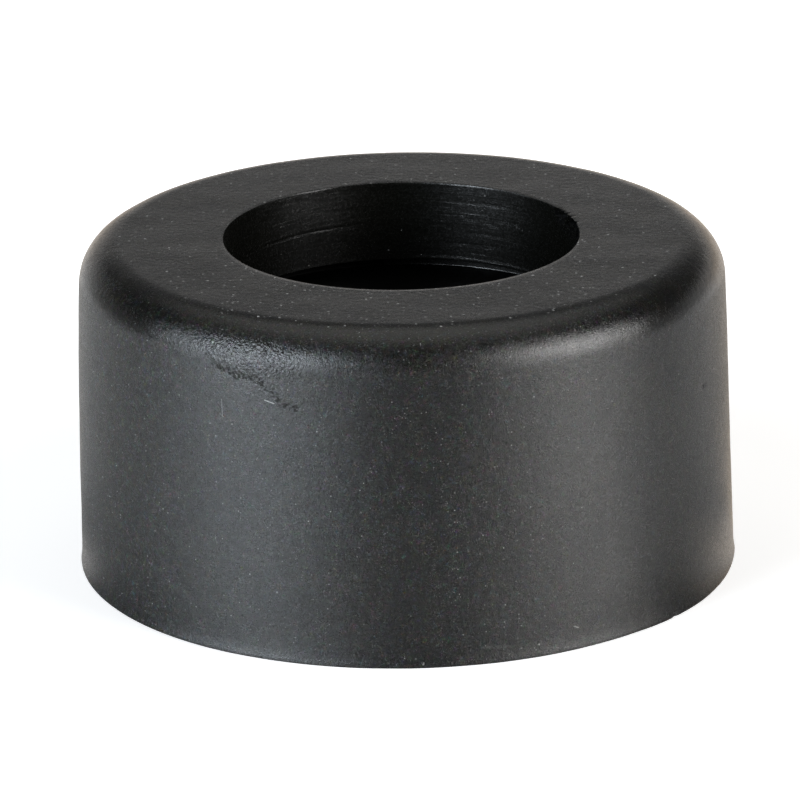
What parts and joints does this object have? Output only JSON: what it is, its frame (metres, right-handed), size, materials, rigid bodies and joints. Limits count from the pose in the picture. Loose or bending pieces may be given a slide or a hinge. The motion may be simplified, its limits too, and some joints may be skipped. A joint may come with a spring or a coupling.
{
  "type": "rubber foot",
  "caption": "Round rubber foot: a slightly tapered solid moulding with a rounded shoulder and a turned recess and hole for a fixing screw.",
  "frame": {"origin": "centre of the base, the wide flat end", "axes": "+Z along the foot's axis, out of the recess; the foot is round, so X and Y are alike"},
  "size_m": [0.0402, 0.0402, 0.0204],
  "materials": {
    "rubber": "matte black moulded rubber with a fine dusting of pale specks"
  },
  "bodies": {
    "root": {"foot": "rubber"}
  },
  "joints": []
}
